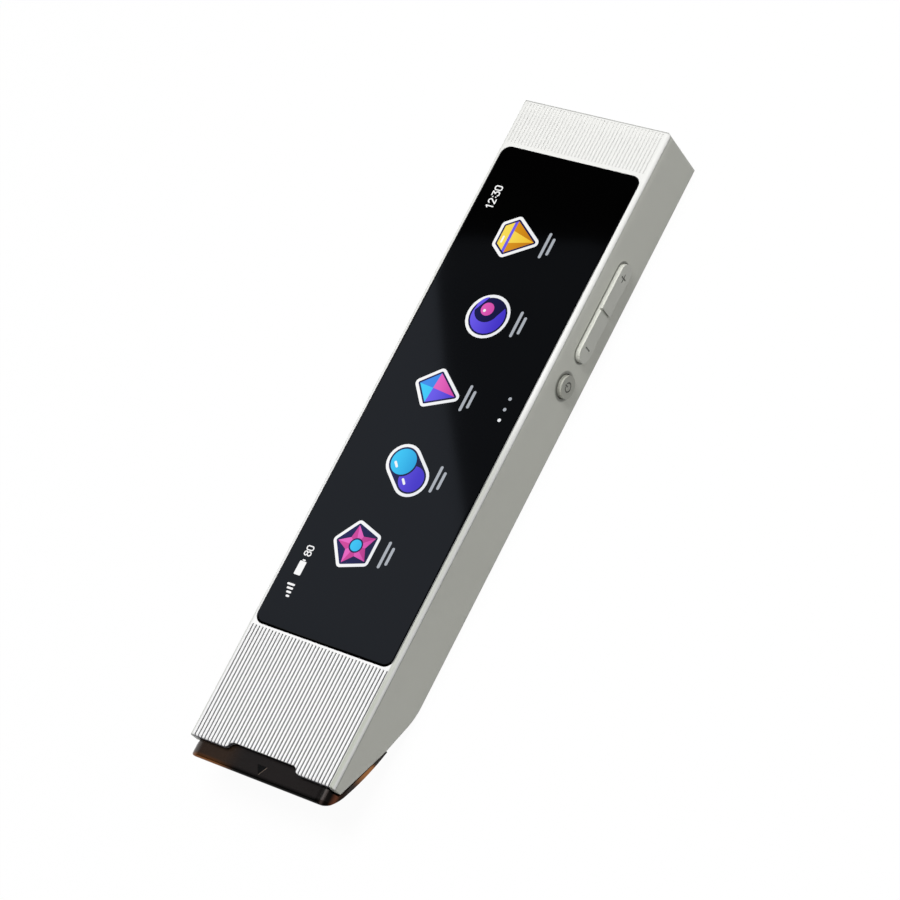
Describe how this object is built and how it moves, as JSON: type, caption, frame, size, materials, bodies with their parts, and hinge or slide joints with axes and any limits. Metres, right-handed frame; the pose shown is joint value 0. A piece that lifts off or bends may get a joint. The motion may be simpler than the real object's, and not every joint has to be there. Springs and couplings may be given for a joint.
{
  "type": "handheld translator",
  "caption": "Flat bar-shaped scan translator with a glass front, ribbed ends, side keys and a smoked scan hood at the tip.",
  "frame": {"origin": "on the plane that the underside rests on, below the middle of the whole length and width", "axes": "+X from the scan hood at the tip to the USB end, +Y away from the key side, +Z out of the screen"},
  "size_m": [0.1378, 0.0337, 0.0134],
  "materials": {
    "casing": "fine spark-eroded matte, light warm grey",
    "cover": "satin, light warm grey, with fine moulded ribs",
    "front_glass": "polished, black behind, with a rounded edge",
    "display": "dark polariser",
    "smoked_hood": "smoked brown translucent plastic, polished",
    "window": "clear smoked window, polished",
    "keys": "satin, same colour as the casing",
    "dark_plastic": "moulded dark plastic",
    "circuit_board": "green solder mask",
    "lamp_board": "white solder mask",
    "chips": "moulded chip packages",
    "connectors": "ivory connector plastic",
    "sheet_steel": "pressed and drawn steel sheet",
    "steel": "bright steel pins, springs and screws",
    "light_metal": "blasted light metal plate",
    "battery_foil": "foil pouch",
    "tape": "adhesive tape",
    "foam": "closed-cell foam",
    "wire": "insulated wire",
    "flex": "amber flexible printed strip",
    "gold": "gold-plated cans",
    "lamp": "yellow phosphor under clear resin",
    "clear_guide": "clear moulded light guide",
    "lens": "coated lens"
  },
  "bodies": {
    "root": {"case_shell": "casing", "top_cover": "cover", "cover_glass": "front_glass", "glass_tape": "tape", "display_panel": "display", "display_pads": "foam", "display_flex": "flex", "chassis": "light_metal", "main_board": "circuit_board", "board_chips": "chips", "board_connectors": "connectors", "shield_can": "sheet_steel", "battery": "battery_foil", "battery_tape": "tape", "battery_lead": "wire", "usb_board": "circuit_board", "usb_socket": "sheet_steel", "usb_tongue": "dark_plastic", "usb_flex": "flex", "microphones": "gold", "speaker": "dark_plastic", "speaker_gasket": "foam", "speaker_mesh": "sheet_steel", "key_bracket": "sheet_steel", "key_board": "circuit_board", "key_switches": "sheet_steel", "rocker_pin": "steel", "camera_holder": "dark_plastic", "camera_module": "dark_plastic", "camera_lens": "lens", "camera_board": "circuit_board", "led_board": "lamp_board", "led_chips": "lamp", "light_guides": "clear_guide", "led_flex": "flex", "hood_switch": "sheet_steel", "hood_pins": "steel", "hood_springs": "steel", "antenna_flex": "flex", "board_screws": "steel", "usb_screws": "steel", "camera_screws": "steel", "bracket_screws": "steel"},
    "rocker": {"rocker_key": "keys", "rocker_plungers": "dark_plastic"},
    "power": {"power_key": "keys", "power_plunger": "dark_plastic"},
    "hood": {"scan_hood": "smoked_hood", "scan_window": "window", "hood_plunger": "dark_plastic"}
  },
  "joints": [
    {"name": "hood_press", "type": "hinge", "parent": "root", "child": "hood", "pos_m": [-0.05215, 0, 0.00567], "axis": [0, 1, 0], "range_deg": [0, 1.5], "stiffness_Nm_per_rad": 0.4, "deforming": ["hood_springs"]},
    {"name": "volume_rock", "type": "hinge", "parent": "root", "child": "rocker", "pos_m": [0.0342, -0.01394, 0.0064], "axis": [0, 0, 1], "range_deg": [-1.4, 1.4], "stiffness_Nm_per_rad": 0.3},
    {"name": "power_press", "type": "slide", "parent": "root", "child": "power", "axis": [0, 1, 0], "range_m": [0, 0.0003], "stiffness_N_per_m": 4000}
  ]
}
